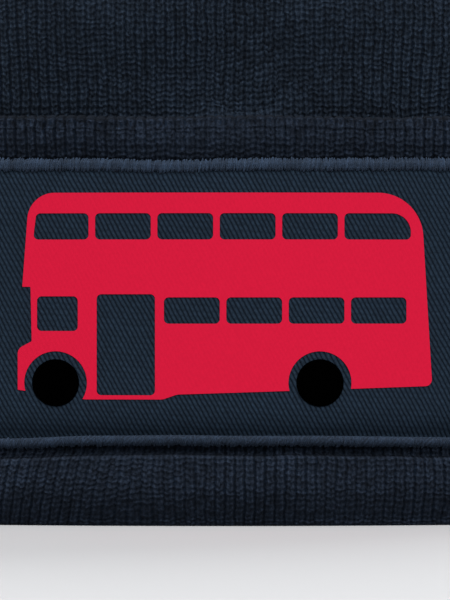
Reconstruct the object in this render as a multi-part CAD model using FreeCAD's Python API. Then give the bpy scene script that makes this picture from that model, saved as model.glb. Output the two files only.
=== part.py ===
"""A knitted hat with a turned-up cuff and a sewn-on twill patch that carries a printed bus figure.

The hat is one double tube of fine rib knit, closed at the crown and folded at the hem, so there are two
plies everywhere. The cuff turns both plies up again, so four plies stand side by side from the bottom
fold to the hem: cuff outside, cuff inside, crown and lining. The patch is a twill panel whose edge sits
in the slot of a whipped thread border, and the figure is a film that lies on the twill.

Frame: millimetres, +Z up. The origin is the middle of the head opening, on the surface that the hat
stands on. The patch faces -Y, and +X is to the right of someone who looks at it.
"""
import FreeCAD, Part
import math
import os

from FreeCAD import Vector

UP = Vector(0, 0, 1)

# Knitted plies
PLY = 1.6
PLY_EASE = 0.3

# Outline of the cuff seen from above: an oval of tangent arcs. The front and back bow out by a little
# more than the radius of the sides.
CUFF_HALF_WIDTH = 90.0
CUFF_HALF_DEPTH = 54.0
FRONT_BOW = 4.0
CUFF_HEIGHT = 79.0
FOLD_FLATTENING = 0.4

# Crown: it swells above the hem, then closes in a dome that ends in a small flat where its darts meet
HAT_HEIGHT = 205.0
CROWN_SWELL = 3.5
SWELL_LENGTH = 24.0
DOME_START = 110.0
DOME_ROUNDNESS_SHARE = 0.88
DOME_ANGLES = (0, 15, 30, 45, 60, 75, 87)

# Darts: the part of the reach that each of the four takes away at the top, and where on the dome it starts
DART_DEPTH_SHARE = 0.2
DART_START_ANGLE = 25

# Patch: whole size with its whipped border, measured along the cuff
PATCH_WIDTH = 115.0
PATCH_HEIGHT = 55.0
PATCH_BELOW_HEM = 8.8
PATCH_THICKNESS = 0.7
PATCH_STANDOFF = 0.35
BORDER_WIDTH = 2.2
BORDER_RISE = 1.6
BORDER_SEAT = 0.1
BORDER_CORNER_RADIUS = 3.5
BORDER_SLOT_EASE = 0.05

# Printed figure: a plain double-decker bus, facing -X
PRINT_THICKNESS = 0.2
PRINT_SEAT = 0.05
FIGURE_LENGTH = 79.0
FIGURE_HEIGHT = 39.3
FIGURE_RISE = 1.15
WINDOW_CORNER_RADIUS = 0.9
WINDOW_HEIGHT = 5.0
WINDOW_WIDTH = 10.6
WINDOW_PITCH = 11.85
UPPER_SILL_HEIGHT = 30.4
UPPER_FIRST_WINDOW = 14.8
UPPER_MIDDLE_WINDOWS = 4
NOSE_WINDOW_LEAN = 0.6
TAIL_WINDOW_WIDTH = 12.7
TAIL_WINDOW_ROUND = 3.6
LOWER_SILL_HEIGHT = 14.4
LOWER_FIRST_WINDOW = 27.9
LOWER_WINDOWS = 4
DOOR_START = 15.1
DOOR_WIDTH = 11.1
DOOR_HEIGHT = 19.2
DOOR_SILL_HEIGHT = 0.8
CAB_WINDOW_START = 3.7
CAB_WINDOW_WIDTH = 7.8
CAB_WINDOW_HEIGHT = 6.6
CAB_SILL_HEIGHT = 13.0
WHEEL_RADIUS = 4.5
ARCH_RADIUS = 6.0
AXLE_HEIGHT = 3.15
FRONT_AXLE = 7.25
WHEELBASE = 50.3

# Body outline of the figure, from the roof's front corner and round by the tail.
# Each point is (share of the length, share of the height, corner radius as a share of the height).
BODY_OUTLINE_SHARES = (
    (0.028, 1.0, 0.132),
    (0.972, 1.0, 0.219),
    (1.0, 0.064, 0.033),
    (0.385, 0.024, 0.051),
    (0.350, 0.0, 0.051),
    (0.163, 0.0, 0.036),
    (0.0, 0.046, 0.003),
    (0.0, 0.245, 0.041),
    (0.034, 0.281, 0.008),
    (0.031, 0.545, 0.005),
    (0.011, 0.545, 0.003),
)

# Working values
CUT_OVERRUN = 5.0
QUARTER_SHARES = (0, 0.25, 0.5, 0.75, 1)


def tangent_radius(half_width, half_depth, side_radius):
    """Radius of the flat arcs that run tangent into the side arcs of an oval."""
    reach = half_width - side_radius
    return (reach ** 2 + half_depth ** 2 - side_radius ** 2) / (2 * (half_depth - side_radius))


CUFF_SIDE_RADIUS = CUFF_HALF_DEPTH - FRONT_BOW
FRONT_RADIUS = tangent_radius(CUFF_HALF_WIDTH, CUFF_HALF_DEPTH, CUFF_SIDE_RADIUS)
SIDE_REACH = CUFF_HALF_WIDTH - CUFF_SIDE_RADIUS
FRONT_REACH = FRONT_RADIUS - CUFF_HALF_DEPTH
HALF_FRONT_ANGLE = math.degrees(math.atan2(SIDE_REACH, FRONT_REACH))
HALF_SIDE_ANGLE = 90 - HALF_FRONT_ANGLE
FRONT_TURN = 270

# The four plies of the cuff, as offsets from the outside of the cuff, outwards positive
PLY_STEP = PLY + PLY_EASE
CUFF_OUTER = (-PLY, 0.0)
CUFF_INNER = (CUFF_OUTER[0] - PLY_STEP, CUFF_OUTER[1] - PLY_STEP)
CROWN = (CUFF_INNER[0] - PLY_STEP, CUFF_INNER[1] - PLY_STEP)
LINING = (CROWN[0] - PLY_STEP, CROWN[1] - PLY_STEP)
FOLD_RADIUS = -LINING[0] / 2
FOLD_HEIGHT = FOLD_RADIUS - FOLD_FLATTENING
HEM_RADIUS = -CUFF_INNER[0] / 2
HEM_HEIGHT = CUFF_HEIGHT - HEM_RADIUS

# Heights on the patch
PATCH_CENTRE_HEIGHT = CUFF_HEIGHT - PATCH_BELOW_HEM - PATCH_HEIGHT / 2
FIGURE_BASE_HEIGHT = PATCH_CENTRE_HEIGHT + FIGURE_RISE - FIGURE_HEIGHT / 2


def direction(turn):
    """Unit vector in the direction turn, in degrees from +X."""
    return Vector(math.cos(math.radians(turn)), math.sin(math.radians(turn)), 0)


def oval_arcs():
    """Centre, radius, start and span of each of the four arcs of the cuff's outline."""
    side, front = HALF_SIDE_ANGLE, HALF_FRONT_ANGLE
    return (
        (Vector(SIDE_REACH, 0, 0), CUFF_SIDE_RADIUS, -side, 2 * side),
        (Vector(0, -FRONT_REACH, 0), FRONT_RADIUS, side, 2 * front),
        (Vector(-SIDE_REACH, 0, 0), CUFF_SIDE_RADIUS, 180 - side, 2 * side),
        (Vector(0, FRONT_REACH, 0), FRONT_RADIUS, 180 + side, 2 * front),
    )


def oval(offset, height, scale=1.0, dart=0.0):
    """Closed outline of the hat at an offset from the outside of the cuff, shrunk towards the middle.

    Each arc of the outline is drawn as two halves. Their common end is where a dart pulls the knit in.
    """
    edges = []
    for centre, radius, start, span in oval_arcs():
        points = [centre + direction(start + span * share) * (radius + offset) for share in QUARTER_SHARES]
        points[2] = points[2] * (1 - dart)
        a, b, c, d, e = [point * scale + UP * height for point in points]
        edges += [Part.Arc(a, b, c).toShape(), Part.Arc(c, d, e).toShape()]
    return Part.Wire(edges)


def band(inside, outside, low, high):
    """Upright ring between two offsets and two heights."""
    ring = Part.Face(oval(outside, low)).cut(Part.Face(oval(inside, low)))
    return ring.extrude(UP * (high - low))


def arc_at(turn):
    """Centre and radius of the arc of the outline that holds the direction turn."""
    for centre, radius, start, span in oval_arcs():
        if start <= turn <= start + span:
            return centre, radius
    return arc_at(turn - 360)


def arcs_between(start, end):
    """Start and span of each stretch of one arc between two directions."""
    stretches = []
    for _, _, first, span in oval_arcs() + tuple((c, r, s + 360, w) for c, r, s, w in oval_arcs()):
        low, high = max(start, first), min(end, first + span)
        if low < high:
            stretches.append((low, high - low))
    return stretches


def place(profile_point, centre, radius, turn):
    """Point of the hat for (offset, height) of a profile, at the direction turn of one arc."""
    offset, height = profile_point
    return centre + direction(turn) * (radius + offset) + UP * height


def profile_face(pieces, centre, radius, turn):
    """Face of a profile made of lines (two points) and arcs (three points) at one direction."""
    edges = []
    for piece in pieces:
        points = [place(p, centre, radius, turn) for p in piece]
        curve = Part.LineSegment(*points) if len(points) == 2 else Part.Arc(*points)
        edges.append(curve.toShape())
    return Part.Face(Part.Wire(Part.__sortEdges__(edges)))


def sweep_arc(pieces, start, span):
    """Profile turned through span degrees about the centre of its arc of the outline."""
    centre, radius = arc_at(start + span / 2)
    return profile_face(pieces, centre, radius, start).revolve(centre, UP, span)


def sweep_oval(pieces):
    """Profile carried once round the whole outline."""
    ring = [sweep_arc(pieces, start, span) for _, _, start, span in oval_arcs()]
    return ring[0].fuse(ring[1:]).removeSplitter()


def half_turn(middle, radius, height, way):
    """Arc of half a turn between two plies, over the top (way 1) or under the bottom (way -1)."""
    return (
        (middle - radius, height),
        (middle, height + way * radius),
        (middle + radius, height),
    )


def box_below(level):
    """Block under a height, to cut flat what rests on it."""
    side = 2 * (CUFF_HALF_WIDTH + CUT_OVERRUN)
    deep = 2 * CUT_OVERRUN
    return Part.makeBox(side, side, deep, Vector(-side / 2, -side / 2, level - deep))


def cuff_outer_ply():
    """Outside of the cuff, with the hem roll at its top and the bottom fold that all plies stand in."""
    profile = [
        ((CUFF_OUTER[1], FOLD_HEIGHT), (CUFF_OUTER[1], HEM_HEIGHT)),
        half_turn(-HEM_RADIUS, HEM_RADIUS, HEM_HEIGHT, 1),
        ((CUFF_INNER[0], HEM_HEIGHT), (CUFF_OUTER[0], HEM_HEIGHT)),
        ((CUFF_OUTER[0], HEM_HEIGHT), (CUFF_OUTER[0], FOLD_HEIGHT)),
        ((CUFF_OUTER[0], FOLD_HEIGHT), (LINING[0], FOLD_HEIGHT)),
        half_turn(-FOLD_RADIUS, FOLD_RADIUS, FOLD_HEIGHT, -1),
    ]
    return sweep_oval(profile).cut(box_below(0.0))


def cuff_inner_ply():
    """Inside of the cuff, from the bottom fold to the underside of the hem roll."""
    return band(CUFF_INNER[0], CUFF_INNER[1], FOLD_HEIGHT + PLY_EASE, HEM_HEIGHT - PLY_EASE)


def smooth_step(share):
    """Soft slope from 0 to 1."""
    return share * share * (3 - 2 * share)


def crown_body(offset, foot):
    """Solid up to one face of a crown ply: an upright wall to the hem's height, then a soft dome.

    The dome's ovals shrink towards the middle, and from the start of the darts their four dart points
    sink in more and more, so that four creases run up and meet at the top.
    """
    sections = []
    for share in (0, 0.5, 1):
        swell = CROWN_SWELL * smooth_step(share)
        sections.append(oval(offset + swell, HEM_HEIGHT + SWELL_LENGTH * share))
    rise = HAT_HEIGHT - CROWN[1] + offset - DOME_START
    for angle in DOME_ANGLES:
        scale = math.cos(math.radians(angle)) ** DOME_ROUNDNESS_SHARE
        lift = math.sin(math.radians(angle)) ** DOME_ROUNDNESS_SHARE
        past_start = max(0, angle - DART_START_ANGLE) / (90 - DART_START_ANGLE)
        dart = DART_DEPTH_SHARE * smooth_step(past_start)
        sections.append(oval(offset + CROWN_SWELL, DOME_START + rise * lift, scale, dart))
    dome = Part.makeLoft(sections, True, False, False, 3)
    wall = Part.Face(oval(offset, foot)).extrude(UP * (HEM_HEIGHT - foot))
    return wall.fuse(dome)


def crown_ply(ply):
    """One ply of the crown: a thin dome, open at the bottom, that stands in the bottom fold."""
    foot = FOLD_HEIGHT + PLY_EASE
    return crown_body(ply[1], foot).cut(crown_body(ply[0], foot - CUT_OVERRUN))


def rounded_outline(corners):
    """Closed face through corners (across, up, radius), each rounded by its own radius."""
    count = len(corners)
    starts, ends, middles = [], [], []
    for i, (across, up, radius) in enumerate(corners):
        here = Vector(across, 0, up)
        before = (Vector(corners[i - 1][0], 0, corners[i - 1][1]) - here).normalize()
        after_at = corners[(i + 1) % count]
        after = (Vector(after_at[0], 0, after_at[1]) - here).normalize()
        half = before.getAngle(after) / 2
        setback = radius / math.tan(half)
        bisector = (before + after).normalize()
        starts.append(here + before * setback)
        ends.append(here + after * setback)
        middles.append(here + bisector * (radius / math.sin(half) - radius))
    edges = []
    for i in range(count):
        edges.append(Part.Arc(starts[i], middles[i], ends[i]).toShape())
        edges.append(Part.LineSegment(ends[i], starts[(i + 1) % count]).toShape())
    return Part.Face(Part.Wire(Part.__sortEdges__(edges)))


def through_front(face):
    """Prism of a drawing through the whole front of the cuff."""
    depth = CUFF_HALF_DEPTH + 2 * CUT_OVERRUN
    return face.extrude(Vector(0, -depth, 0))


def surface_angle(length):
    """Direction on the oval, past the middle of the front, that lies a length along the cuff."""
    front_length = FRONT_RADIUS * math.radians(HALF_FRONT_ANGLE)
    if length <= front_length:
        return math.degrees(length / FRONT_RADIUS)
    return HALF_FRONT_ANGLE + math.degrees((length - front_length) / CUFF_SIDE_RADIUS)


def patch_panel(grow):
    """Twill panel that follows the cuff. Its edge lies under the middle of the border."""
    inset = BORDER_WIDTH / 2
    half_height = PATCH_HEIGHT / 2 - inset + grow
    end = FRONT_TURN + surface_angle(PATCH_WIDTH / 2 - inset + grow)
    centre, radius = arc_at(end)
    half_width = place((0.0, 0.0), centre, radius, end).x
    low, high = PATCH_CENTRE_HEIGHT - half_height, PATCH_CENTRE_HEIGHT + half_height
    corner = BORDER_CORNER_RADIUS + grow
    corners = [
        (-half_width, low, corner),
        (half_width, low, corner),
        (half_width, high, corner),
        (-half_width, high, corner),
    ]
    sheet = band(PATCH_STANDOFF - grow, PATCH_STANDOFF + PATCH_THICKNESS + grow, low, high)
    return sheet.common(through_front(rounded_outline(corners)))


def border_section(middle_height):
    """Half-round section of the border about a height, flat side to the cuff."""
    low = (BORDER_SEAT, middle_height - BORDER_WIDTH / 2)
    high = (BORDER_SEAT, middle_height + BORDER_WIDTH / 2)
    crest = (BORDER_SEAT + BORDER_RISE, middle_height)
    return [(low, crest, high), (high, low)]


def patch_border():
    """Whipped thread border: a half-round bead that holds the edge of the panel in its slot."""
    inset = BORDER_WIDTH / 2
    half_height = PATCH_HEIGHT / 2 - inset
    straight_end = surface_angle(PATCH_WIDTH / 2 - inset - BORDER_CORNER_RADIUS)
    pieces = []
    for way in (1, -1):
        section = border_section(PATCH_CENTRE_HEIGHT + way * half_height)
        for start, span in arcs_between(FRONT_TURN - straight_end, FRONT_TURN + straight_end):
            pieces.append(sweep_arc(section, start, span))
    for side in (1, -1):
        turn = FRONT_TURN + side * straight_end
        centre, radius = arc_at(turn)
        corner_height = half_height - BORDER_CORNER_RADIUS
        for way in (1, -1):
            face = profile_face(
                border_section(PATCH_CENTRE_HEIGHT + way * half_height), centre, radius, turn
            )
            pivot = place((0.0, PATCH_CENTRE_HEIGHT + way * corner_height), centre, radius, turn)
            quarter = -90 * side * way
            corner = face.revolve(pivot, direction(turn), quarter)
            pieces.append(corner)
            if way == 1:
                face.rotate(pivot, direction(turn), quarter)
                pieces.append(face.extrude(UP * (-2 * corner_height)))
    bead = pieces[0].fuse(pieces[1:]).removeSplitter()
    return bead.cut(patch_panel(BORDER_SLOT_EASE))


def on_figure(corners):
    """Moves corners of the figure's own drawing to their place on the patch."""
    left = -FIGURE_LENGTH / 2
    return [(left + along, FIGURE_BASE_HEIGHT + up, radius) for along, up, radius in corners]


def opening(start, sill, width, height, nose_lean=0.0, tail_round=WINDOW_CORNER_RADIUS):
    """Window or door of the figure. Its nose side may lean, and its top tail corner may be rounder."""
    radius = WINDOW_CORNER_RADIUS
    corners = [
        (start, sill, radius),
        (start + width, sill, radius),
        (start + width, sill + height, tail_round),
        (start + nose_lean, sill + height, radius),
    ]
    return rounded_outline(on_figure(corners))


def wheel_arch(axle):
    """Round arch over a wheel, open at the bottom."""
    left = -FIGURE_LENGTH / 2 + axle - ARCH_RADIUS
    low = FIGURE_BASE_HEIGHT - CUT_OVERRUN
    middle = Vector(left + ARCH_RADIUS, 0, FIGURE_BASE_HEIGHT + AXLE_HEIGHT)
    disc = Part.Face(Part.Wire(Part.Circle(middle, Vector(0, 1, 0), ARCH_RADIUS).toShape()))
    way_out = Part.makePlane(2 * ARCH_RADIUS, middle.z - low, Vector(left, 0, low), Vector(0, -1, 0))
    return disc.fuse(way_out).removeSplitter()


def film(drawing):
    """Printed film of a drawing, lying on the face of the twill panel."""
    face = PATCH_STANDOFF + PATCH_THICKNESS + PRINT_SEAT
    low = FIGURE_BASE_HEIGHT - ARCH_RADIUS
    high = FIGURE_BASE_HEIGHT + FIGURE_HEIGHT + CUT_OVERRUN
    return band(face, face + PRINT_THICKNESS, low, high).common(through_front(drawing))


def print_body():
    """Bus body of the figure with its windows, door and wheel arches left open."""
    corners = [
        (along * FIGURE_LENGTH, up * FIGURE_HEIGHT, radius * FIGURE_HEIGHT)
        for along, up, radius in BODY_OUTLINE_SHARES
    ]
    body = rounded_outline(on_figure(corners))
    openings = [
        opening(DOOR_START, DOOR_SILL_HEIGHT, DOOR_WIDTH, DOOR_HEIGHT),
        opening(CAB_WINDOW_START, CAB_SILL_HEIGHT, CAB_WINDOW_WIDTH, CAB_WINDOW_HEIGHT),
        opening(
            UPPER_FIRST_WINDOW - WINDOW_PITCH, UPPER_SILL_HEIGHT, WINDOW_WIDTH, WINDOW_HEIGHT,
            nose_lean=NOSE_WINDOW_LEAN,
        ),
        opening(
            UPPER_FIRST_WINDOW + UPPER_MIDDLE_WINDOWS * WINDOW_PITCH, UPPER_SILL_HEIGHT,
            TAIL_WINDOW_WIDTH, WINDOW_HEIGHT, tail_round=TAIL_WINDOW_ROUND,
        ),
        wheel_arch(FRONT_AXLE),
        wheel_arch(FRONT_AXLE + WHEELBASE),
    ]
    for i in range(UPPER_MIDDLE_WINDOWS):
        start = UPPER_FIRST_WINDOW + i * WINDOW_PITCH
        openings.append(opening(start, UPPER_SILL_HEIGHT, WINDOW_WIDTH, WINDOW_HEIGHT))
    for i in range(LOWER_WINDOWS):
        start = LOWER_FIRST_WINDOW + i * WINDOW_PITCH
        openings.append(opening(start, LOWER_SILL_HEIGHT, WINDOW_WIDTH, WINDOW_HEIGHT))
    return film(body.cut(openings))


def print_wheel(axle):
    """Wheel of the figure: a plain disc."""
    middle = Vector(-FIGURE_LENGTH / 2 + axle, 0, FIGURE_BASE_HEIGHT + AXLE_HEIGHT)
    disc = Part.Circle(middle, Vector(0, 1, 0), WHEEL_RADIUS)
    return film(Part.Face(Part.Wire(disc.toShape())))


def build():
    """All pieces of the hat by name."""
    pieces = {
        "cuff_outer_ply": cuff_outer_ply(),
        "cuff_inner_ply": cuff_inner_ply(),
        "crown": crown_ply(CROWN),
        "lining": crown_ply(LINING),
        "patch_twill": patch_panel(0.0),
        "patch_border": patch_border(),
        "print_bus_body": print_body(),
        "print_front_wheel": print_wheel(FRONT_AXLE),
        "print_rear_wheel": print_wheel(FRONT_AXLE + WHEELBASE),
    }
    return pieces


os.makedirs("parts", exist_ok=True)
for name, shape in build().items():
    shape.exportStep(os.path.join("parts", name + ".step"))
    box = shape.BoundBox
    print(
        f"{name}: solids {len(shape.Solids)}, valid {shape.isValid()}, volume {shape.Volume:.1f},"
        f" x {box.XMin:.2f}..{box.XMax:.2f}, y {box.YMin:.2f}..{box.YMax:.2f},"
        f" z {box.ZMin:.2f}..{box.ZMax:.2f}, faces {len(shape.Faces)}"
    )
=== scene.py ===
"""Looks of the knitted hat: rib knit cuff, crown and lining, twill patch with a whipped border, bus print.

Lengths are worked out in millimetres on the hat's own outline and turned into metres when a vertex is set.
"""
import bpy
import bmesh
import math
import random

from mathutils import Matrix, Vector, noise


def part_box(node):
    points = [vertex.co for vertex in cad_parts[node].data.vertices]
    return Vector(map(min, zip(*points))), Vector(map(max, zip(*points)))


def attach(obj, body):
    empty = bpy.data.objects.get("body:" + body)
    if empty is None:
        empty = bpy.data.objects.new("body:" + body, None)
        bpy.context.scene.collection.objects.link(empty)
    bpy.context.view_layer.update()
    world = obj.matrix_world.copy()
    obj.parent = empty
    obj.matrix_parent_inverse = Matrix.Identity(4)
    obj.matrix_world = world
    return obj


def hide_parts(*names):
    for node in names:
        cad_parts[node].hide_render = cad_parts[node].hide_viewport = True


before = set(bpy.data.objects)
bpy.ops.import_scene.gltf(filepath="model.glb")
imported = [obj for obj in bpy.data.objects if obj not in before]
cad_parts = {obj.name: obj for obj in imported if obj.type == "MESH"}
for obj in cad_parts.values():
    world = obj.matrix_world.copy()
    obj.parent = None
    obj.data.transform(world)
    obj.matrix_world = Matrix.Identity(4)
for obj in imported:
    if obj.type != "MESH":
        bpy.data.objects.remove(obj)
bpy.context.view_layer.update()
MM = 0.001

# Outline of the cuff seen from above: wide arcs at front and back, tight ones at the sides
CUFF_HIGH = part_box("cuff_outer_ply")[1]
HALF_WIDTH = CUFF_HIGH[0] / MM
HALF_DEPTH = CUFF_HIGH[1] / MM
FRONT_BOW = 4.0
SIDE_RADIUS = HALF_DEPTH - FRONT_BOW
SIDE_REACH = HALF_WIDTH - SIDE_RADIUS
FRONT_RADIUS = (SIDE_REACH ** 2 + HALF_DEPTH ** 2 - SIDE_RADIUS ** 2) / (2 * FRONT_BOW)
FRONT_REACH = FRONT_RADIUS - HALF_DEPTH
HALF_FRONT_ANGLE = math.atan2(SIDE_REACH, FRONT_REACH)
FRONT_HALF_LENGTH = FRONT_RADIUS * HALF_FRONT_ANGLE
SIDE_HALF_LENGTH = SIDE_RADIUS * (math.pi / 2 - HALF_FRONT_ANGLE)
GORE_LENGTH = FRONT_HALF_LENGTH + SIDE_HALF_LENGTH
GIRTH = 4 * GORE_LENGTH

# Plies, as offsets from the outside of the cuff, and the bends of its hem and of its bottom fold
CUFF_BACK = -3.5
CROWN_FACE, CROWN_BACK = -3.8, -5.4
LINING_BACK, LINING_FACE = -5.7, -7.3
HEM_DROP, FOLD_SAG = 0.8, 0.4
HEM_RADIUS = -CUFF_BACK / 2
HEM_HEIGHT = CUFF_HIGH[2] / MM - HEM_RADIUS - HEM_DROP
FOLD_RADIUS = -LINING_FACE / 2
FOLD_HEIGHT = FOLD_RADIUS - FOLD_SAG

# Crown
HAT_TOP = 205.0
WALL = 34.0
SWELL, SWELL_LENGTH = 3.5, 24.0
DOME_START, DOME_RUN, ROUNDNESS = 110.0, 122.0, 0.88
DART_DEPTH, DART_START = 0.2, math.radians(25)
STITCH_PITCH, STITCH_RADIUS, STITCH_HALF_LENGTH = 2.3, 0.34, 1.5
KNOT_RADIUS, KNOT_HALF_HEIGHT = 3.4, 1.3

# Soft creases of the crown: place along the front, depth, heights where each sets in and where it fades
CREASES = ((3.8, 2.4, (76, 82), (112, 140)), (-47, 1.0, (84, 100), (120, 150)))
CREASE_WIDTH = 9.0

# Knit: wales round the hat, height of a course, and the taller loops that turn over the hem
WALES = 250
COURSE = 1.13
HEM_LOOP = 2.2
HEM_GROOVE = 75.7
HEM_COURSE = 4.0

# Mesh rows of the cuff. The zones of its face are given by lower end and rows, finest at hem and lip
BACK_HEIGHTS = (40.0, 66.0, 74.0)
HEM_STEPS, FOLD_STEPS = 8, 11
FACE_ZONES = (
    (HEM_HEIGHT - 5.0, 10), (HEM_HEIGHT - 8.6, 3), (18.2, 21), (15.2, 5), (12.4, 12), (FOLD_HEIGHT, 16),
)

# Patch: panel, the hollow that it lies in, the gap below it, and the threads of its border
TWILL_LOW, TWILL_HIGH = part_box("patch_twill")
PATCH_MIDDLE = (TWILL_LOW[2] + TWILL_HIGH[2]) / 2 / MM
PANEL_HALF_LENGTH, PANEL_HALF_HEIGHT = 56.4, (TWILL_HIGH[2] - TWILL_LOW[2]) / 2 / MM
PANEL_BACK, PANEL_FACE = 0.35, 1.22
EDGE_GRIP, EDGE_SLOPE = 1.1, 8.5
CORNER_RADIUS = 3.5
CORNERS = ((1, 1), (1, -1), (-1, -1), (-1, 1))
HOLLOW_MARGIN, GAP_HEIGHT, GAP_DEPTH = 0.6, 3.2, 1.9
BORDER_STRAIGHTS = 4 * (PANEL_HALF_LENGTH + PANEL_HALF_HEIGHT - 2 * CORNER_RADIUS)
BORDER_LENGTH = BORDER_STRAIGHTS + 2 * math.pi * CORNER_RADIUS
BEAD_HALF_WIDTH, BEAD_HALF_HEIGHT = 0.85, 0.55
WRAP_PITCH, WRAP_RADIUS, WRAP_REACH, WRAP_CREST = 0.38, 0.24, 1.12, 1.42
TWILL_PITCH, NUB_LENGTH = 0.80, 1.3
TWILL_ACROSS, TWILL_UP = 0.883, 0.469

# Depths of the materials' bumps in metres
KNIT_BUMP, TWILL_BUMP, THREAD_BUMP, PRINT_BUMP = 0.00042, 0.00022, 0.00012, 0.000016

# Camera, in metres
PATCH_FRONT, CAMERA_DISTANCE, CAMERA_HEIGHT = 0.0545, 0.7917, 0.0431


def smooth_step(share):
    share = min(1.0, max(0.0, share))
    return share * share * (3 - 2 * share)


def ramp(value, low, high):
    """Soft slope from 0 at low to 1 at high."""
    return smooth_step((value - low) / (high - low))


def bell(value, middle, width):
    """1 at the middle, falling off to both sides within about a width."""
    return math.exp(-((value - middle) / width) ** 2)


def soft(x, y, z, size):
    """Smooth noise from -1 to 1 with bumps of about a size."""
    return noise.noise(Vector((x, y, z)) / size)


def outline(length):
    """Arc centre, direction and radius at a length along the cuff, from the front's middle towards +X."""
    length = (length + GIRTH / 2) % GIRTH - GIRTH / 2
    way = 1 if length >= 0 else -1
    reach = abs(length)
    if reach <= FRONT_HALF_LENGTH:
        centre, turn, radius = (0.0, FRONT_REACH), reach / FRONT_RADIUS, FRONT_RADIUS
    elif reach <= FRONT_HALF_LENGTH + 2 * SIDE_HALF_LENGTH:
        turn = HALF_FRONT_ANGLE + (reach - FRONT_HALF_LENGTH) / SIDE_RADIUS
        centre, radius = (SIDE_REACH, 0.0), SIDE_RADIUS
    else:
        turn = math.pi - (2 * GORE_LENGTH - reach) / FRONT_RADIUS
        centre, radius = (0.0, -FRONT_REACH), FRONT_RADIUS
    out = Vector((way * math.sin(turn), -math.cos(turn), 0))
    return Vector((way * centre[0], centre[1], 0)), out, radius


def on_cuff(length, offset, height):
    """Point on the hat at a length along the cuff, an offset from its face and a height."""
    centre, out, radius = outline(length)
    point = centre + out * (radius + offset)
    point.z = height
    return point


def new_object(name, bm, material, smooth=True):
    mesh = bpy.data.meshes.new(name)
    bm.to_mesh(mesh)
    bm.free()
    piece = bpy.data.objects.new(name, mesh)
    bpy.context.scene.collection.objects.link(piece)
    mesh.materials.append(material)
    mesh.polygons.foreach_set("use_smooth", [smooth] * len(mesh.polygons))
    return piece


def close_up(bm, distance=1e-6):
    """Merges seams and poles and turns every face outwards."""
    bmesh.ops.remove_doubles(bm, verts=bm.verts, dist=distance)
    bmesh.ops.recalc_face_normals(bm, faces=bm.faces)


def knit_grid(bm, columns, stations, place, lay_wale=None):
    """Tube of knit: columns run round from the middle of the back, stations run along the profile.

    A station is (profile values, course). place gives the point of a length and a station, and lay_wale the
    wale of the UV map where wales aren't evenly spread.
    """
    rows = len(stations) - 1
    before = set(bm.verts)
    bmesh.ops.create_grid(bm, x_segments=columns, y_segments=rows, size=0.5)
    verts = [v for v in bm.verts if v not in before]
    uv = bm.loops.layers.uv.get("knit") or bm.loops.layers.uv.new("knit")
    keys = {}
    for vert in verts:
        keys[vert] = (round((vert.co.x + 0.5) * columns), round((vert.co.y + 0.5) * rows))
    for face in {face for vert in verts for face in vert.link_faces}:
        for loop in face.loops:
            column, row = keys[loop.vert]
            wale = column / columns * WALES
            if lay_wale:
                middle = sum(keys[v][0] for v in face.verts) / len(face.verts)
                wale = lay_wale(column / columns, middle / columns, stations[row][0])
            loop[uv].uv = (wale, stations[row][1])
    for vert in verts:
        column, row = keys[vert]
        length = (column / columns - 0.5) * GIRTH
        vert.co = place(length, column / columns * WALES, stations[row][0]) * MM


def rib_relief(wale, depth):
    """Height of a wale's face: low between wales, a shallow valley down its middle."""
    share = wale % 1.0
    if share < 1e-6 or share > 1 - 1e-6:
        return -depth
    if abs(share - 0.5) < 1e-6:
        return depth * 0.4
    return depth * 0.75


def cuff_stations():
    """Profile of the cuff: up behind the hem, over it, down the face, round the bottom fold, back inside.

    Its values are offset, height, and 1 where the cuff can be seen.
    """
    stations = []
    course = 0.0
    for height in BACK_HEIGHTS:
        stations.append(((CUFF_BACK, height, 0.0), course))
        course += 1.0
    for i in range(HEM_STEPS + 1):
        angle = math.pi * (1 - i / HEM_STEPS)
        offset = -HEM_RADIUS + HEM_RADIUS * math.cos(angle)
        course = HEM_COURSE - (HEM_RADIUS * angle + HEM_HEIGHT - HEM_GROOVE) / HEM_LOOP
        stations.append(((offset, HEM_HEIGHT + HEM_RADIUS * math.sin(angle), 1.0), course))
    height = HEM_HEIGHT
    for zone_end, rows in FACE_ZONES:
        step = (height - zone_end) / rows
        for _ in range(rows):
            height -= step
            if height > HEM_GROOVE:
                course = HEM_COURSE - (height - HEM_GROOVE) / HEM_LOOP
            else:
                course = HEM_COURSE + (HEM_GROOVE - height) / COURSE
            stations.append(((0.0, height, 1.0), course))
    for i in range(1, FOLD_STEPS + 1):
        angle = -math.pi * i / FOLD_STEPS
        offset = -FOLD_RADIUS + FOLD_RADIUS * math.cos(angle)
        height = max(0.0, FOLD_HEIGHT + FOLD_RADIUS * math.sin(angle))
        course += math.pi * FOLD_RADIUS / FOLD_STEPS / COURSE
        stations.append(((offset, height, 1.0), course))
    stations.append(((CROWN_BACK, FOLD_HEIGHT, 0.0), course + 1))
    stations.append(((CUFF_BACK, FOLD_HEIGHT, 0.0), course + 2))
    stations.append(((CUFF_BACK, BACK_HEIGHTS[0], 0.0), course + 5))
    return stations


def border_wave(along, up):
    """How far the sewn border strays up or down from its true line."""
    if up > 0:
        return 0.12 * ramp(along, 20, 34) - 0.34 * bell(along, -11, 9.5) - 0.3
    return 0.15 + 0.12 * bell(along, -9, 8.0) - 0.6 * ramp(-along, 24, 42) - 0.42 * ramp(along, 15, 48)


def patch_lip(length):
    """How far the lip of the knit below the patch strays up or down."""
    return border_wave(length, -1) - 0.1 * (1 + ramp(-length, 10, 30)) + 0.22 * soft(length, 0, 3.7, 6)


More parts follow.
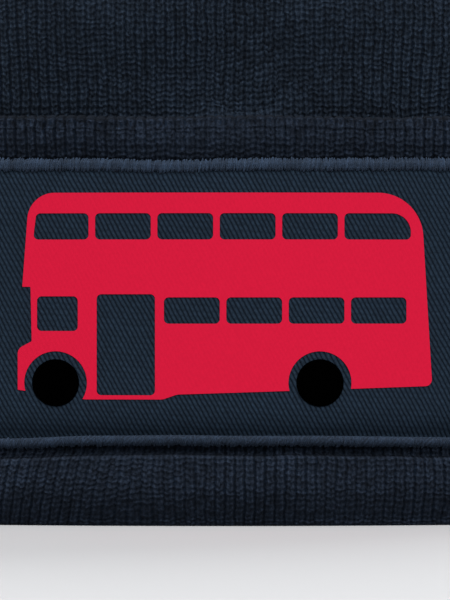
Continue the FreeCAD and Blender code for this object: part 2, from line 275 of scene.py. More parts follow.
def patch_hollow(length, height, lip):
    """1 where the knit gives way under the patch and in the gap below it, 0 beside it."""
    reach = PANEL_HALF_HEIGHT + (GAP_HEIGHT - lip if height < PATCH_MIDDLE else HOLLOW_MARGIN)
    along = ramp(PANEL_HALF_LENGTH + HOLLOW_MARGIN - abs(length), 0, 1.6)
    return along * ramp(reach - abs(height - PATCH_MIDDLE), 0, 0.75)


def hem_grooves(height, on_face):
    """Grooves below and above the first round of the tall loops."""
    below = -0.12 * bell(height, HEM_GROOVE, 0.6) * on_face
    return below - 0.15 * bell(height - HEM_GROOVE, HEM_LOOP, 0.5) * on_face


def cuff_puff(length, height, lip, on_face):
    """Fullness of the cuff: uneven all over, round at the hem and below the patch."""
    puff = 0.35 * soft(length, height, 9.3, 26) + 0.12 * soft(length, height, 4.7, 7)
    puff += ramp(height, 70.2, 74.0) * on_face
    beside_patch = 1 - ramp(PANEL_HALF_LENGTH + 14 - abs(length), 0, 14)
    roll = 1.3 * ramp(height, 0.0, 9.0) * (1 - ramp(height - lip, 12.9, 13.9 + 22 * beside_patch))
    return puff + roll * on_face


def place_cuff(length, wale, profile):
    """Point of the cuff. Where it shows, ribs, puffs and the patch's hollow move it off its plain profile."""
    offset, height, shown = profile
    if not shown:
        return on_cuff(length, offset, height)
    on_face = ramp(offset, -2.0, -0.3)
    lip = patch_lip(length)
    lean = 0.22 * max(0.0, 17 - height) * ramp(-length, 8, 26) * ramp(length, -120, -80)
    lean += 0.12 * soft(length, height, 3.1, 18) * on_face
    rib_depth = 0.12 + 0.36 * ramp(height, 73.2, 76.6) + 0.22 * soft(length, height, 0, 17)
    relief = rib_relief(wale, max(0.05, rib_depth))
    full = relief + hem_grooves(height, on_face) + cuff_puff(length, height, lip, on_face)
    hollow = (GAP_DEPTH - 0.8 * ramp(height, 16.5, 19.5)) * patch_hollow(length, height, lip)
    out = full * (0.25 + 0.75 * on_face) - hollow
    if height < 1.2:
        out *= 0.2
    out -= 1.3 * (1 - ramp(height, 0.0, 7.0)) * on_face
    wave = 0.45 * soft(length, 0, 5.5, 22) + 0.2 * soft(length, 0, 8.1, 7)
    scallop = -0.55 if relief < 0 else 0.1
    height += wave * ramp(height, 60, 79) + scallop * ramp(height, 77.4, 79)
    return on_cuff(length - lean, offset + out, height)


def crown_stations(offset, fine):
    """Profile of a crown ply: foot, wall behind the cuff, dome. Its values are offset, height, dome angle."""
    stations, course = [], 0.0
    for height in (FOLD_HEIGHT - 0.6, 30.0, 60.0):
        stations.append(((offset, height, None), course))
        course += 12
    wall_rows, dome_rows = (26, 62) if fine else (5, 14)
    for i in range(wall_rows):
        stations.append(((offset, DOME_START - WALL * (1 - i / wall_rows), None), course))
        course += WALL / wall_rows / COURSE
    for i in range(dome_rows + 1):
        angle = math.pi / 2 * ((i / dome_rows) ** 1.12)
        stations.append(((offset, DOME_START, angle), course))
        course += DOME_RUN / dome_rows / COURSE
    return stations


def dome_scale(angle):
    """Share of the outline that is left at an angle of the dome, 0 at its top."""
    return max(0.0, math.cos(angle)) ** ROUNDNESS if angle < math.pi / 2 - 1e-9 else 0.0


def gore_share(length):
    """-1 to 1 across a gore, from the dart at the front or back to the dart at the side."""
    reach = abs((length + GIRTH / 2) % GIRTH - GIRTH / 2)
    if reach > GORE_LENGTH:
        reach = 2 * GORE_LENGTH - reach
    return 2 * reach / GORE_LENGTH - 1


def crown_point(length, offset, height, angle):
    """Point of a crown ply before any fold or rib is added."""
    swell = SWELL * ramp(height, HEM_HEIGHT, HEM_HEIGHT + SWELL_LENGTH)
    if angle is None:
        return on_cuff(length, offset + swell, height)
    point = on_cuff(length, offset + swell, 0.0)
    dart = DART_DEPTH * smooth_step(max(0.0, angle - DART_START) / (math.pi / 2 - DART_START))
    share = abs(gore_share(length))
    point *= dome_scale(angle) * (1 - dart * (1.08 * share ** 3.2 - 0.08))
    rise = HAT_TOP - CROWN_FACE + offset - DOME_START
    point.z = DOME_START + rise * math.sin(angle) ** ROUNDNESS
    return point


def dart_folds(length, angle, flat):
    """Ripples and swell of the knit beside a dart, and its pulled-in seam."""
    seam = ramp(angle, 0.5, 0.9) * ramp(flat, 0.02, 0.2)
    across = (1 - abs(gore_share(length))) * GORE_LENGTH / 2 * flat
    ripple = math.sin(angle * 95 / 5.2 * 2 + 2.5 * soft(length, angle * 60, 0, 30))
    amount = 0.75 * ripple * math.exp(-across / 5.5) * ramp(across, 0.3, 2.0) * seam
    amount += 0.9 * bell(across, 3.4, 2.2) * seam
    return amount - 1.3 * bell(across, 0, 1.5) * seam


def place_crown(length, wale, profile):
    """Point of the crown's outside with its ribs, dart folds, soft folds and creases."""
    offset, height, angle = profile
    point = crown_point(length, offset, height, angle)
    if angle is None and height < 74:
        return point
    out = outline(length)[1]
    if angle is None:
        flat = 1.0
        amount = rib_relief(wale, 0.12) * (1 - ramp(height, 95, 110))
        amount -= 0.35 * (1 - ramp(height, 78.0, 80.4))
    else:
        up = smooth_step(angle / (math.pi / 2))
        out = (out * (1 - up) + Vector((0, 0, 1)) * up).normalized()
        flat = dome_scale(angle)
        amount = dart_folds(length, angle, flat)
    uneven = 1.3 * soft(point.x, point.y, point.z, 42) + 0.35 * soft(point.x, point.y, point.z, 13)
    amount += ramp(height, 78, 96) * flat * uneven
    fold = soft(point.x, point.y, point.z * 0.35, 19) * ramp(point.z, 78, 92) * (1 - ramp(point.z, 112, 155))
    amount += (0.5 + 1.6 * ramp(abs(length), 35, 60)) * fold
    for middle, depth, deepens, fades in CREASES:
        crease = bell(length, middle, CREASE_WIDTH) * ramp(point.z, *deepens) * (1 - ramp(point.z, *fades))
        amount -= depth * crease
    return point + out * amount


def place_plain(length, wale, profile):
    """Point of a crown ply whose ribs and folds don't show."""
    return crown_point(length, *profile)


def lay_crown_wale(share, middle, profile):
    """Wale on the crown: the wales of a gore stay parallel to its middle and end at its darts."""
    angle = profile[2]
    if angle is None:
        return share * WALES
    gore = math.floor(middle * 4)
    centre = (gore + 0.5) / 4
    return (centre + (share - centre) * dome_scale(angle)) * WALES


def make_cuff(material):
    bm = bmesh.new()
    knit_grid(bm, WALES * 4, cuff_stations(), place_cuff)
    close_up(bm)
    return new_object("cuff_knit", bm, material)


def make_dome(name, columns, outer, place_outer, fine, inner, material):
    """Double-walled dome of knit between an outer and an inner offset, closed at its foot."""
    bm = bmesh.new()
    outside = crown_stations(outer, fine)
    inside = crown_stations(inner, False)
    outside.insert(0, inside[0])
    knit_grid(bm, columns, outside, place_outer, lay_crown_wale)
    knit_grid(bm, columns, inside, place_plain, lay_crown_wale)
    close_up(bm)
    return new_object(name, bm, material)


def round_corner(along, up):
    """Moves a point of the panel's rectangle so that its square corners become round."""
    over_along = abs(along) - (PANEL_HALF_LENGTH - CORNER_RADIUS)
    over_up = abs(up) - (PANEL_HALF_HEIGHT - CORNER_RADIUS)
    if over_along <= 0 or over_up <= 0:
        return along, up
    shrink = max(over_along, over_up) / math.hypot(over_along, over_up)
    along = math.copysign(PANEL_HALF_LENGTH - CORNER_RADIUS + over_along * shrink, along)
    up = math.copysign(PANEL_HALF_HEIGHT - CORNER_RADIUS + over_up * shrink, up)
    return along, up


def make_twill(material):
    """Twill of the patch as one sheet with a UV map in millimetres. Its edges dip into the border."""
    bm = bmesh.new()
    bmesh.ops.create_grid(bm, x_segments=150, y_segments=72, size=0.5)
    uv = bm.loops.layers.uv.new("cloth")
    places = {}
    for vert in bm.verts:
        places[vert] = round_corner(vert.co.x * 2 * PANEL_HALF_LENGTH, vert.co.y * 2 * PANEL_HALF_HEIGHT)
    for face in bm.faces:
        for loop in face.loops:
            loop[uv].uv = places[loop.vert]
    for vert, (along, up) in places.items():
        from_edge = min(PANEL_HALF_LENGTH - abs(along), PANEL_HALF_HEIGHT - abs(up))
        dip = 1 - min(EDGE_SLOPE, max(EDGE_GRIP, from_edge)) / EDGE_SLOPE
        sink = (1.2 - 1.1 * up / PANEL_HALF_HEIGHT) * dip ** 3
        vert.co = on_cuff(along, PANEL_FACE - sink, PATCH_MIDDLE + up) * MM
    bmesh.ops.recalc_face_normals(bm, faces=bm.faces)
    piece = new_object("patch_twill_cloth", bm, material)
    middle = piece.data.polygons[len(piece.data.polygons) // 2]
    if middle.normal.y > 0:
        piece.data.flip_normals()
    wall = piece.modifiers.new("thickness", "SOLIDIFY")
    wall.thickness = (PANEL_FACE - PANEL_BACK) * MM
    wall.offset = -1
    return piece


def border_path(share):
    """Along, up and outward direction in the patch's plane, at a share of the way round the border."""
    corner_along, corner_up = PANEL_HALF_LENGTH - CORNER_RADIUS, PANEL_HALF_HEIGHT - CORNER_RADIUS
    quarter = math.pi * CORNER_RADIUS / 2
    run = (share % 1.0) * BORDER_LENGTH
    for side in range(4):
        straight = 2 * (corner_along if side % 2 == 0 else corner_up)
        angle = math.pi / 2 - side * math.pi / 2
        if run <= straight:
            corner = CORNERS[side - 1]
            out, go = (math.cos(angle), math.sin(angle)), (math.sin(angle), -math.cos(angle))
            along = corner[0] * corner_along + go[0] * run + out[0] * CORNER_RADIUS
            up = corner[1] * corner_up + go[1] * run + out[1] * CORNER_RADIUS
            return along, up, out
        run -= straight
        if run <= quarter:
            corner = CORNERS[side]
            turned = angle - run / CORNER_RADIUS
            out = (math.cos(turned), math.sin(turned))
            along = corner[0] * corner_along + out[0] * CORNER_RADIUS
            up = corner[1] * corner_up + out[1] * CORNER_RADIUS
            return along, up, out
        run -= quarter
    return border_path(0.0)


def on_border(share, across, offset):
    """Point at a distance across the border, outwards positive, and an offset from the cuff's face."""
    along, up, out = border_path(share)
    along, up = along + out[0] * across, up + out[1] * across
    return on_cuff(along, offset, PATCH_MIDDLE + up + border_wave(along, up))


def border_lowness(share):
    """0 at the top run of the border, 1 at its bottom run, which stands off the knit a little more and is
    given painted shade in the wraps.
    """
    return ramp(-border_path(share)[1], -PANEL_HALF_HEIGHT, PANEL_HALF_HEIGHT)


def thread_grid(bm, steps, sides, run):
    """Flat grid of thread: X along it, Y round it. Its UV map goes once round and run units along."""
    before = set(bm.verts)
    bmesh.ops.create_grid(bm, x_segments=steps, y_segments=sides, size=0.5)
    uv = bm.loops.layers.uv.get("thread") or bm.loops.layers.uv.new("thread")
    verts = [v for v in bm.verts if v not in before]
    for face in {f for v in verts for f in v.link_faces}:
        for loop in face.loops:
            loop[uv].uv = (loop.vert.co.y + 0.5, (loop.vert.co.x + 0.5) * run)
    return verts


def make_border_core(material):
    """Bead of packed thread under the wraps."""
    bm = bmesh.new()
    tone_and_painted_shade = bm.verts.layers.float.new("tone_and_painted_shade")
    steps = 640
    for vert in thread_grid(bm, steps, 12, steps):
        share = vert.co.x + 0.5
        angle = (vert.co.y + 0.5) * 2 * math.pi
        vert[tone_and_painted_shade] = 0.6
        offset = 0.75 + 0.25 * border_lowness(share) + BEAD_HALF_HEIGHT * math.sin(angle)
        vert.co = on_border(share, BEAD_HALF_WIDTH * math.cos(angle), offset) * MM
    close_up(bm)
    return new_object("patch_border_core", bm, material)


def make_border_wraps(material):
    """Threads whipped over the edge, one beside the other.

    One thread is copied along Z, a unit apart, and every copy is then bent over the border.
    """
    wraps = round(BORDER_LENGTH / WRAP_PITCH)
    bm = bmesh.new()
    thread_grid(bm, 8, 5, 8)
    made = 1
    while made < wraps:
        more = min(made, wraps - made)
        chosen = [f for f in bm.faces if f.calc_center_median().z < more - 0.5]
        copy = bmesh.ops.duplicate(bm, geom=chosen)
        new_verts = [v for v in copy["geom"] if isinstance(v, bmesh.types.BMVert)]
        bmesh.ops.translate(bm, verts=new_verts, vec=(0, 0, made))
        made += more
    rng = random.Random(5)
    habits = [
        (
            rng.gauss(0, 0.15), rng.gauss(0, 0.13), rng.gauss(0, 0.07), rng.uniform(0.8, 1.2),
            rng.gauss(0, 0.12), rng.uniform(0.75, 1.25),
        )
        for _ in range(wraps)
    ]
    tone_and_painted_shade = bm.verts.layers.float.new("tone_and_painted_shade")
    for vert in bm.verts:
        index = round(vert.co.z)
        inner, outer, lift, thick, lean, vert[tone_and_painted_shade] = habits[index]
        over = vert.co.x + 0.5
        around = (vert.co.y + 0.5) * 2 * math.pi
        cos, sin = math.cos(math.pi * over), math.sin(math.pi * over)
        taper = sin ** 0.4 if 0 < over < 1 else 0.0
        radius = WRAP_RADIUS * thick * taper
        drift = (0.16 + lean) * cos + radius * math.sin(around)
        share = (index * WRAP_PITCH + drift) / BORDER_LENGTH
        low = border_lowness(share)
        # Painted shade: wraps on the border's bottom run are darkened, down to 0.77 of their tone.
        vert[tone_and_painted_shade] *= 0.97 - 0.2 * low
        reach = WRAP_REACH + (outer + 0.14 * (1 - low) if cos > 0 else inner - 0.5 * low) * abs(cos)
        across = math.copysign(abs(cos) ** 0.8, cos) * (reach + radius * math.cos(around))
        seat = 0.05 if cos > 0 else 0.95 - 0.45 * low
        crest = WRAP_CREST + lift
        fullness = 0.65 + (0.8 * low if cos > 0 else 0.0)
        offset = seat + (crest - seat) * sin ** fullness + radius * math.cos(around) * sin
        vert.co = on_border(share % 1.0, across, offset) * MM
    close_up(bm, 5e-7)
    return new_object("patch_border_wraps", bm, material)


def dart_spots():
    """Length and dome angle of every stitch, down the four darts."""
    for dart in range(4):
        angle = 0.62
        while angle < 1.53:
            yield dart * GORE_LENGTH, angle
            angle += STITCH_PITCH / (78.0 + 30 * math.cos(angle))


def dart_stitches(material):
    """Small whipped stitches that close the four darts."""
    bm = bmesh.new()
    tone_and_painted_shade = bm.verts.layers.float.new("tone_and_painted_shade")
    rng = random.Random(9)
    for length, angle in dart_spots():
        verts = thread_grid(bm, 6, 6, 6)
        here = crown_point(length, CROWN_FACE, DOME_START, angle)
        ahead = crown_point(length, CROWN_FACE, DOME_START, angle + 0.01)
        along = (ahead - here).normalized()
        side = Vector((0, 0, 1)).cross(outline(length)[1]).normalized()
        out = along.cross(side).normalized()
        if out.dot(outline(length)[1] + Vector((0, 0, 1))) < 0:
            out = -out
        half, tilt = STITCH_HALF_LENGTH + rng.uniform(-0.2, 0.2), 0.5 + rng.uniform(-0.1, 0.1)
        for vert in verts:
            vert[tone_and_painted_shade] = 1.0
            share = vert.co.x * 2
            around = (vert.co.y + 0.5) * 2 * math.pi
            radius = STITCH_RADIUS * math.sqrt(max(0.0, 1 - share * share))
            rise = 0.9 * abs(share)
            vert.co = (
                here + side * (share * half) + along * (share * half * tilt + radius * math.sin(around))
                + out * (rise + radius * math.cos(around))
            ) * MM
    close_up(bm, 5e-7)
    return new_object("dart_stitches", bm, material)


def crown_knot(material):
    """Flat knot of yarn that gathers the darts at the top."""
    bm = bmesh.new()
    bmesh.ops.create_uvsphere(bm, u_segments=48, v_segments=18, radius=1.0)
    uv = bm.loops.layers.uv.new("thread")
    for face in bm.faces:
        for loop in face.loops:
            co = loop.vert.co
            loop[uv].uv = (math.atan2(co.y, co.x) / (2 * math.pi) * 6, co.z * 3)
    tone_and_painted_shade = bm.verts.layers.float.new("tone_and_painted_shade")
    for vert in bm.verts:
        vert[tone_and_painted_shade] = 0.75
        turn = math.atan2(vert.co.y, vert.co.x)
        petals = 1 + 0.12 * math.cos(8 * turn + 3 * vert.co.z)
        x, y = vert.co.x * KNOT_RADIUS * petals, vert.co.y * KNOT_RADIUS * petals
        vert.co = Vector((x, y, vert.co.z * KNOT_HALF_HEIGHT)) * MM
        dimple = 0.7 * bell(vert.co.xy.length / MM, 0, 1.1)
        vert.co.z += (HAT_TOP + 0.2 - dimple) * MM
    close_up(bm)
    return new_object("crown_knot", bm, material)


class Finish:
    """A node material that is put together step by step. Most steps give the socket of their result."""

    def __init__(self, name, **shader_settings):
        self.material = bpy.data.materials.new(name)
        self.material.use_nodes = True
        self.nodes = self.material.node_tree.nodes
        self.links = self.material.node_tree.links
        self.shader = self.nodes["Principled BSDF"]
        for socket, value in shader_settings.items():
            self.shader.inputs[socket.replace("_", " ")].default_value = value

    def feed(self, socket, value):
        if isinstance(value, bpy.types.NodeSocket):
            self.links.new(value, socket)
        else:
            socket.default_value = value

    def add(self, kind, outlet=0, settings=None, **inputs):
        node = self.nodes.new(kind)
        for name, value in (settings or {}).items():
            setattr(node, name, value)
        for name, value in inputs.items():
            self.feed(node.inputs[name.replace("_", " ")], value)
        return node.outputs[outlet]

    def math(self, operation, *values, clamp=False):
        node = self.nodes.new("ShaderNodeMath")
        node.operation = operation
        node.use_clamp = clamp
        for socket, value in zip(node.inputs, values):
            self.feed(socket, value)
        return node.outputs[0]

    def product(self, result, *values):
        for value in values:
            result = self.math("MULTIPLY", result, value)
        return result

    def wave(self, operation, value, turns, swing, middle):
        """Sine or cosine of a value that counts turns, as a swing about a middle."""
        angle = self.math("MULTIPLY", value, turns * 2 * math.pi)
        return self.math("MULTIPLY_ADD", self.math(operation, angle), swing, middle)

    def vector(self, operation, *values):
        node = self.nodes.new("ShaderNodeVectorMath")
        node.operation = operation
        for socket, value in zip(node.inputs, values):
            self.feed(socket, value)
        return node.outputs["Value" if operation == "DOT_PRODUCT" else "Vector"]

    def scaled(self, colour, amount):
        return self.add("ShaderNodeVectorMath", settings={"operation": "SCALE"}, Vector=colour, Scale=amount)

    def pair(self, x, y):
        return self.add("ShaderNodeCombineXYZ", X=x, Y=y)

    def chance(self, x, y):
        """Random value from 0 to 1 for every pair of values."""
        place = self.pair(x, y)
        return self.add("ShaderNodeTexWhiteNoise", settings={"noise_dimensions": "2D"}, Vector=place)

    def object_place(self):
        return self.add("ShaderNodeTexCoord", outlet="Object")

    def uv_place(self, name):
        return self.add("ShaderNodeUVMap", settings={"uv_map": name})

    def noise(self, place, scale, detail, outlet="Fac"):
        return self.add("ShaderNodeTexNoise", outlet=outlet, Vector=place, Scale=scale, Detail=detail)

    def stray(self, vector, place, scale, detail, amount):
        """The vector moved aside by a share of an amount that changes from place to place."""
        shift = self.vector("SUBTRACT", self.noise(place, scale, detail, "Color"), (0.5, 0.5, 0.5))
        return self.vector("ADD", vector, self.vector("MULTIPLY", shift, amount))

    def stretch(self, value, low, high, to_low, to_high, kind="LINEAR"):
        node = self.nodes.new("ShaderNodeMapRange")
        node.interpolation_type = kind
        self.feed(node.inputs["Value"], value)
        for name, number in zip(("From Min", "From Max", "To Min", "To Max"), (low, high, to_low, to_high)):
            node.inputs[name].default_value = number
        return node.outputs[0]

    def slope(self, value, low, high):
        """Soft slope from 0 at low to 1 at high."""
        return self.stretch(value, low, high, 0.0, 1.0, "SMOOTHSTEP")

    def colours(self, value, *stops):
        node = self.nodes.new("ShaderNodeValToRGB")
        self.feed(node.inputs["Fac"], value)
        elements = node.color_ramp.elements
        while len(elements) < len(stops):
            elements.new(0.5)
        for element, (position, colour) in zip(elements, stops):
            element.position = position
            element.color = (*colour, 1)
        return node.outputs["Color"]

    def done(self, colour, height, distance):
        self.links.new(colour, self.shader.inputs["Base Color"])
        bump = self.add("ShaderNodeBump", Height=height, Distance=distance, Strength=1.0)
        self.links.new(bump, self.shader.inputs["Normal"])
        return self.material


def shade(rgb, factor=1.0, change=(0, 0, 0)):
    """Linear colour of a colour given in 0 to 255, with a change to its channels, times a factor."""
    linear = []
    for channel, more in zip(rgb, change):
        level = channel + more
        light = ((level / 255 + 0.055) / 1.055) ** 2.4 if level > 10 else level / 255 / 12.92
        linear.append(min(1.0, factor * light))
    return tuple(linear)


def tall_loops(mix, course, across, row, leg):
    """Row and leg of the stitches with the hem's tall loops in their place, and 1 where those are."""
    tall = mix.slope(course, HEM_COURSE + 0.5, HEM_COURSE - 0.15)
    change = mix.math("SUBTRACT", mix.wave("COSINE", course, 1, 0.56, 0.57), row)
    turn = mix.slope(course, HEM_COURSE - 0.52, HEM_COURSE - 0.8)
    bow = mix.product(turn, mix.slope(across, 0.46, 0.24), 0.9)
    return mix.math("MULTIPLY_ADD", tall, change, row), mix.math("MAXIMUM", leg, bow), tall


def knit_finish(name, colour, counts_up, rows, legs, furrows, hem=False):
    """Fine knit from the UV map in wales and courses.

    counts_up is 1 where courses are counted upwards and -1 where they are counted downwards. rows, legs and
    furrows are how clear the courses, the two legs of a stitch and the furrows between wales are.
    """
    mix = Finish(
        name, Roughness=0.9, Sheen_Weight=0.03, Sheen_Roughness=0.5, Specular_IOR_Level=0.08,
        Sheen_Tint=(0.55, 0.68, 0.95, 1),
    )
    place = mix.object_place()
    stitches = mix.stray(mix.uv_place("knit"), place, 80.0, 1.0, (0.4, 1.4, 0))
    stitches = mix.stray(stitches, place, 300.0, 0.0, (0.18, 0.45, 0))
    stitches = mix.stray(stitches, place, 620.0, 1.0, (0.38, 0.48, 0))
    wale = mix.add("ShaderNodeSeparateXYZ", outlet="X", Vector=stitches)
    course = mix.add("ShaderNodeSeparateXYZ", outlet="Y", Vector=stitches)
    across = mix.math("ABSOLUTE", mix.math("SUBTRACT", mix.math("FRACT", wale), 0.5))
    half_wale = mix.math("FLOOR", mix.product(wale, 2.0))
    wale_place = mix.pair(mix.product(mix.math("FLOOR", wale), 3.7), mix.product(course, 0.1))
    tension = mix.noise(wale_place, 1.0, 1.0)
    slack = mix.noise(mix.pair(mix.product(half_wale, 5.3), mix.product(course, 0.15)), 1.0, 1.0)
    chevron = mix.math("MULTIPLY_ADD", tension, 1.2, course)
    chevron = mix.math("MULTIPLY_ADD", across, -0.5 * counts_up, chevron)
    chevron = mix.math("ADD", chevron, mix.product(slack, 1.5))
    row = mix.wave("COSINE", chevron, 1, 0.5 * rows, 0.5)
    leg = mix.wave("COSINE", across, 2, -0.5 * legs, 0.5)
    if hem:
        row, leg, tall = tall_loops(mix, course, across, row, leg)
    gap = mix.math("POWER", mix.math("SUBTRACT", 1.0, leg), 1.5)
    hole = mix.product(mix.math("SUBTRACT", 1.0, row), gap)
    loops = mix.math("SUBTRACT", 0.59, mix.math("MULTIPLY_ADD", hole, 0.54, mix.product(gap, 0.1)))
    loops = mix.math("MULTIPLY_ADD", mix.product(row, leg), 0.38, loops)
    openness = mix.stretch(mix.noise(place, 34.0, 1.0), 0.35, 0.65, 0.5, 1.5)
    furrow = mix.product(mix.slope(across, 0.28, 0.48), openness, mix.stretch(row, 0, 1, 1.3, 0.5))
    loops = mix.product(loops, mix.stretch(furrow, 0, 1, 1 + 0.3 * furrows, 1 - furrows))
    chance = mix.chance(half_wale, mix.math("FLOOR", chevron))
    fibre = mix.noise(place, 2600.0, 3.0)
    light = mix.product(
        mix.stretch(chance, 0, 1, 0.66, 1.34), mix.stretch(fibre, 0.25, 0.75, 0.42, 1.58),
        mix.stretch(mix.noise(place, 55.0, 3.0), 0.3, 0.7, 0.86, 1.14),
        mix.stretch(tension, 0.3, 0.7, 0.96, 1.04),
    )
    if hem:
        strands = mix.stretch(mix.noise(place, 1500.0, 2.0), 0.3, 0.7, 0.45, 1.35)
        strands = mix.math("MULTIPLY_ADD", mix.math("SUBTRACT", strands, 1.0), tall, 1.0)
        # Painted shade: the hem's topmost rows, which face up to the light, are darkened to 0.3 of their
        # colour.
        painted_shade_on_hem_top = mix.slope(course, HEM_COURSE - 0.7, HEM_COURSE - 1.05)
        light = mix.product(light, strands, mix.stretch(painted_shade_on_hem_top, 0, 1, 1, 0.3))
    # Partly the yarn's own colour, partly painted light: the dark stops paint shade into the holes and
    # furrows between the loops, and the top stop paints a highlight on their crests.
    base = mix.colours(
        loops,
        (0.0, shade(colour, 0.16, (-8, 2, 12))),
        (0.3, shade(colour, 0.48, (-4, 1, 6))),
        (0.6, shade(colour)),
        (1.0, shade(colour, 1.6)),
    )
    height = mix.math("MULTIPLY_ADD", fibre, 0.35, mix.product(loops, 1.3))
    height = mix.math("ADD", height, mix.product(chance, 0.15))
    return mix.done(mix.scaled(base, light), height, KNIT_BUMP)


def twill_finish(name, colour):
    """Twill with slanted ribs and nubs along them, from the UV map in millimetres."""
    mix = Finish(
        name, Roughness=0.85, Sheen_Weight=0.03, Sheen_Roughness=0.45, Specular_IOR_Level=0.1,
        Sheen_Tint=(0.55, 0.7, 0.95, 1),
    )
    place = mix.object_place()
    cloth = mix.stray(mix.uv_place("cloth"), place, 700.0, 2.0, (0.26, 0.26, 0))
    cloth = mix.stray(cloth, place, 60.0, 1.0, (0.8, 0.8, 0))
    rib = mix.math("DIVIDE", mix.vector("DOT_PRODUCT", cloth, (TWILL_ACROSS, TWILL_UP, 0)), TWILL_PITCH)
    run = mix.math("DIVIDE", mix.vector("DOT_PRODUCT", cloth, (-TWILL_UP, TWILL_ACROSS, 0)), NUB_LENGTH)
    rib_number = mix.math("FLOOR", rib)
    run = mix.math("MULTIPLY_ADD", rib_number, 0.37, run)
    across = mix.math("MULTIPLY_ADD", mix.math("FRACT", rib), 2.0, -1.0)
    ridge = mix.math("SQRT", mix.math("SUBTRACT", 1.0, mix.product(across, across), clamp=True))
    along = mix.math("MULTIPLY_ADD", mix.math("FRACT", run), 2.0, -1.0)
    nub = mix.math("SUBTRACT", 1.0, mix.product(along, along), clamp=True)
    chance = mix.chance(rib_number, mix.math("FLOOR", run))
    fibre = mix.noise(place, 3000.0, 3.0)
    weave = mix.product(ridge, mix.stretch(nub, 0, 1, 0.86, 1.0))
    base = mix.colours(
        mix.math("POWER", weave, 2.0),
        (0.0, shade((16, 33, 56), 0.38)),
        (0.45, shade(colour, 0.66, (-1, 1, 1))),
        (1.0, shade(colour, 1.7, (1, 0, -1.5))),
    )
    light = mix.product(
        mix.stretch(chance, 0, 1, 0.9, 1.1), mix.stretch(fibre, 0.25, 0.75, 0.65, 1.35),
        mix.stretch(mix.noise(place, 45.0, 3.0), 0.3, 0.7, 0.95, 1.05),
    )
    height = mix.math("ADD", weave, mix.product(fibre, 0.2))
    return mix.done(mix.scaled(base, light), height, TWILL_BUMP)


def thread_finish(name, colour, strands=5.0):
    """Fuzzy spun thread. Its UV map runs round the thread and along it."""
    mix = Finish(
        name, Roughness=0.75, Sheen_Weight=0.08, Sheen_Roughness=0.4, Specular_IOR_Level=0.15,
        Sheen_Tint=(0.6, 0.75, 1.0, 1),
    )
    place = mix.object_place()
    strand = mix.vector("DOT_PRODUCT", mix.uv_place("thread"), (strands, 0.55, 0))
    twist = mix.wave("SINE", strand, 1, 0.5, 0.5)
    fibre = mix.noise(place, 2400.0, 3.0)
    base = mix.colours(
        mix.math("MULTIPLY_ADD", twist, 0.35, mix.product(fibre, 0.65)),
        (0.15, shade(colour, 0.35)),
        (0.5, shade(colour, 0.95)),
        (0.85, shade(colour, 1.9)),
    )
    # Each vertex's attribute holds the thread's own tone and, on the border's bottom run, painted shade.
    tone_and_painted_shade = mix.add("ShaderNodeAttribute", outlet="Fac", settings={"attribute_name": "tone_and_painted_shade"})
    light = mix.product(mix.stretch(mix.noise(place, 330.0, 2.0), 0.3, 0.7, 0.8, 1.2), tone_and_painted_shade)
    height = mix.math("ADD", mix.product(twist, 0.5), mix.product(fibre, 0.6))
    return mix.done(mix.scaled(base, light), height, THREAD_BUMP)


def print_finish(name, colour, roughness, gloss):
    """Printed film: even colour, with a trace of the cloth's grain under it."""
    mix = Finish(name, Roughness=roughness, Specular_IOR_Level=gloss)
    place = mix.object_place()
    grain = mix.noise(place, 1800.0, 2.0)
    rib = mix.vector("DOT_PRODUCT", place, (TWILL_ACROSS, 0, TWILL_UP))
    rib = mix.wave("SINE", mix.math("DIVIDE", rib, TWILL_PITCH * MM), 1, 0.5, 0.5)
    darker, lighter = [tuple(c * factor for c in colour) for factor in (0.97, 1.03)]
    base = mix.colours(grain, (0.3, darker), (0.7, lighter))
    height = mix.math("MULTIPLY_ADD", rib, 0.6, mix.product(grain, 0.4))
    return mix.done(base, height, PRINT_BUMP)


def seen_rays(nodes, links):
    """1 for what the camera, a gloss or clear glass sees of the studio, 0 for the light that it sends."""
    rays = nodes.new("ShaderNodeLightPath")
    value = rays.outputs["Is Camera Ray"]
    for ray in ("Is Glossy Ray", "Is Transmission Ray"):
        either = nodes.new("ShaderNodeMath")
        either.operation = "MAXIMUM"
        links.new(value, either.inputs[0])
        links.new(rays.outputs[ray], either.inputs[1])
        value = either.outputs[0]
    return value


def floor_finish():
    """Pale floor that sends less light back on the hat than it shows to the camera."""
    mix = Finish("pale_floor", Roughness=0.9, Specular_IOR_Level=0.1)
    look = mix.nodes.new("ShaderNodeMix")
    look.data_type = "RGBA"
    mix.links.new(seen_rays(mix.nodes, mix.links), look.inputs["Factor"])
    look.inputs[6].default_value = (0.22, 0.225, 0.23, 1)
    look.inputs[7].default_value = (0.5, 0.503, 0.512, 1)
    mix.links.new(look.outputs[2], mix.shader.inputs["Base Color"])
    return mix.material


def make_floor():
    bm = bmesh.new()
    bmesh.ops.create_grid(bm, x_segments=1, y_segments=1, size=12.0)
    piece = new_object("floor", bm, floor_finish(), smooth=False)


def soft_light(name, azimuth, elevation, strength, spread):
    """Far soft light on object and floor alike. Its azimuth is counted from the front towards +X."""
    lamp = bpy.data.lights.new(name, "SUN")
    lamp.energy = strength
    lamp.angle = math.radians(spread)
    piece = bpy.data.objects.new(name, lamp)
    turn, rise = math.radians(azimuth), math.radians(elevation)
    towards = Vector((math.sin(turn) * math.cos(rise), -math.cos(turn) * math.cos(rise), math.sin(rise)))
    piece.rotation_euler = towards.to_track_quat("Z", "Y").to_euler()
    piece.location = towards
    bpy.context.scene.collection.objects.link(piece)


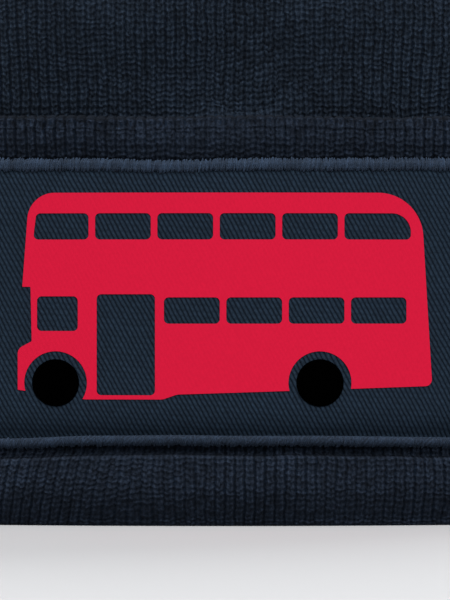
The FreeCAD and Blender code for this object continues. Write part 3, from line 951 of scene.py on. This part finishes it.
def set_studio():
    scene = bpy.context.scene
    scene.view_settings.view_transform = "Standard"
    world = bpy.data.worlds.new("studio")
    scene.world = world
    world.use_nodes = True
    nodes, links = world.node_tree.nodes, world.node_tree.links
    dim = nodes["Background"]
    dim.inputs["Color"].default_value = (0.95, 0.97, 1.0, 1)
    dim.inputs["Strength"].default_value = 0.36
    bright = nodes.new("ShaderNodeBackground")
    bright.inputs["Color"].default_value = (0.84, 0.85, 0.87, 1)
    blend = nodes.new("ShaderNodeMixShader")
    links.new(seen_rays(nodes, links), blend.inputs[0])
    links.new(dim.outputs[0], blend.inputs[1])
    links.new(bright.outputs[0], blend.inputs[2])
    links.new(blend.outputs[0], nodes["World Output"].inputs[0])
    soft_light("key_light", azimuth=20, elevation=54, strength=3.15, spread=26)
    soft_light("fill_light", azimuth=-60, elevation=30, strength=0.75, spread=60)
    soft_light("back_light", azimuth=165, elevation=38, strength=2.1, spread=50)


def set_camera():
    lens = bpy.data.cameras.new("camera")
    lens.lens = 250
    lens.sensor_width = 36
    lens.clip_start = 0.01
    lens.clip_end = 20
    piece = bpy.data.objects.new("camera", lens)
    piece.location = (0, -(PATCH_FRONT + CAMERA_DISTANCE), CAMERA_HEIGHT)
    piece.rotation_euler = (math.pi / 2, 0, 0)
    bpy.context.scene.collection.objects.link(piece)
    bpy.context.scene.camera = piece


def dress():
    cuff_knit = knit_finish("navy_knit_cuff", (25, 32, 43), -1, 0.6, 0.46, 0.66, hem=True)
    crown_knit = knit_finish("navy_knit_crown", (25, 33, 43.3), 1, 0.62, 0.56, 0.76)
    lining_knit = knit_finish("navy_knit_lining", (24, 31, 40), 1, 0.62, 0.56, 0.76)
    thread = thread_finish("border_thread", (41, 54.5, 73))
    seam_thread = thread_finish("seam_thread", (27, 34, 45), 3.0)
    cuff = make_cuff(cuff_knit)
    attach(cuff, "root")
    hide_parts("cuff_outer_ply", "cuff_inner_ply")
    crown = make_dome("crown_knit", WALES * 2, CROWN_FACE, place_crown, True, CROWN_BACK, crown_knit)
    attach(crown, "root")
    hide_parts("crown")
    lining = make_dome("lining_knit", WALES, LINING_BACK, place_plain, False, LINING_FACE, lining_knit)
    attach(lining, "root")
    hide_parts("lining")
    twill = make_twill(twill_finish("navy_twill", (22, 34, 47)))
    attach(twill, "root")
    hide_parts("patch_twill")
    core = make_border_core(thread)
    wraps = make_border_wraps(thread)
    for piece in (core, wraps):
        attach(piece, "root")
    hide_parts("patch_border")
    for piece in (dart_stitches(seam_thread), crown_knot(seam_thread)):
        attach(piece, "root")
    red = print_finish("red_print", (0.655, 0.009, 0.042), 0.8, 0.05)
    black = print_finish("black_print", (0.0002, 0.0002, 0.0002), 0.9, 0.0)
    printed = {"print_bus_body": red, "print_front_wheel": black, "print_rear_wheel": black}
    for node, material in printed.items():
        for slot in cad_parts[node].material_slots:
            slot.material = material


set_camera()
set_studio()
make_floor()
dress()
